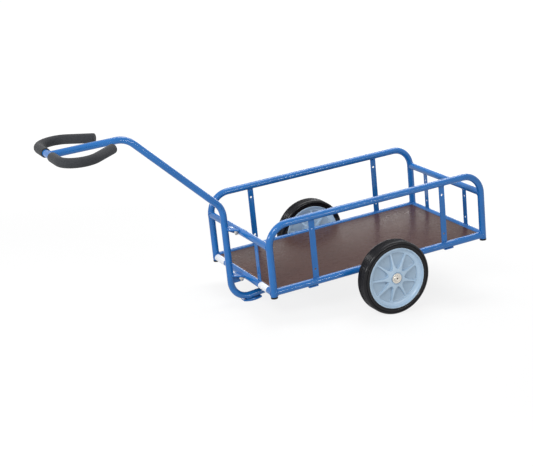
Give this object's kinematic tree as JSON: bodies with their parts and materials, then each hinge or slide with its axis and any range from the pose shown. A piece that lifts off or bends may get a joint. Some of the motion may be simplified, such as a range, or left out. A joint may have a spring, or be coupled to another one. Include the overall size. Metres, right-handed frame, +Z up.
{
  "type": "platform hand cart",
  "caption": "Two-wheeled tube-frame platform hand cart with a film-faced deck, open sides, ribbed wheels with solid tyres and a bent drawbar ending in a looped foam-grip handle.",
  "frame": {"origin": "on the floor under the middle of the parked cart's outline", "axes": "+X towards the handle, +Y to the cart's left, +Z up; the cart stands nose-down on its wheels and the skid under its drawbar"},
  "size_m": [1.8062, 0.7636, 0.7119],
  "materials": {
    "blue_paint": "gloss powder coat",
    "deck_film": "dark brown film-faced plywood",
    "rim_plastic": "satin moulded plastic",
    "tyre_rubber": "solid black rubber",
    "grip_foam": "matt foam rubber",
    "cap_plastic": "black plastic",
    "zinc": "pale zinc plate"
  },
  "bodies": {
    "frame": {"side_hoop_left": "blue_paint", "side_hoop_right": "blue_paint", "side_rail_left": "blue_paint", "side_rail_right": "blue_paint", "end_bar_front_upper": "blue_paint", "end_bar_front_lower": "blue_paint", "end_bar_rear_upper": "blue_paint", "end_bar_rear_lower": "blue_paint", "side_post_front_left": "blue_paint", "side_post_front_right": "blue_paint", "side_post_rear_left": "blue_paint", "side_post_rear_right": "blue_paint", "end_post_front_left": "blue_paint", "end_post_front_right": "blue_paint", "end_post_rear_left": "blue_paint", "end_post_rear_right": "blue_paint", "deck_support_front": "blue_paint", "deck_support_rear": "blue_paint", "axle_bracket_left": "blue_paint", "axle_bracket_right": "blue_paint", "drawbar": "blue_paint", "drawbar_bracket_upper": "blue_paint", "drawbar_bracket_lower": "blue_paint", "skid": "blue_paint", "tail_bracket": "blue_paint", "handle_loop": "blue_paint", "deck_board": "deck_film", "leg_cap_front_left": "cap_plastic", "leg_cap_front_right": "cap_plastic", "leg_cap_rear_left": "cap_plastic", "leg_cap_rear_right": "cap_plastic", "axle": "zinc", "axle_spacer_left": "zinc", "axle_spacer_right": "zinc", "axle_cap_left": "zinc", "axle_cap_right": "zinc", "grip_left": "grip_foam", "grip_right": "grip_foam"},
    "wheel_left": {"rim_left": "rim_plastic", "tyre_left": "tyre_rubber"},
    "wheel_right": {"rim_right": "rim_plastic", "tyre_right": "tyre_rubber"}
  },
  "joints": [
    {"name": "wheel_left_spin", "type": "hinge", "parent": "frame", "child": "wheel_left", "pos_m": [-0.40919, 0.3508, 0.15], "axis": [0, 1, 0], "continuous": true},
    {"name": "wheel_right_spin", "type": "hinge", "parent": "frame", "child": "wheel_right", "pos_m": [-0.40919, -0.3508, 0.15], "axis": [0, 1, 0], "continuous": true}
  ]
}
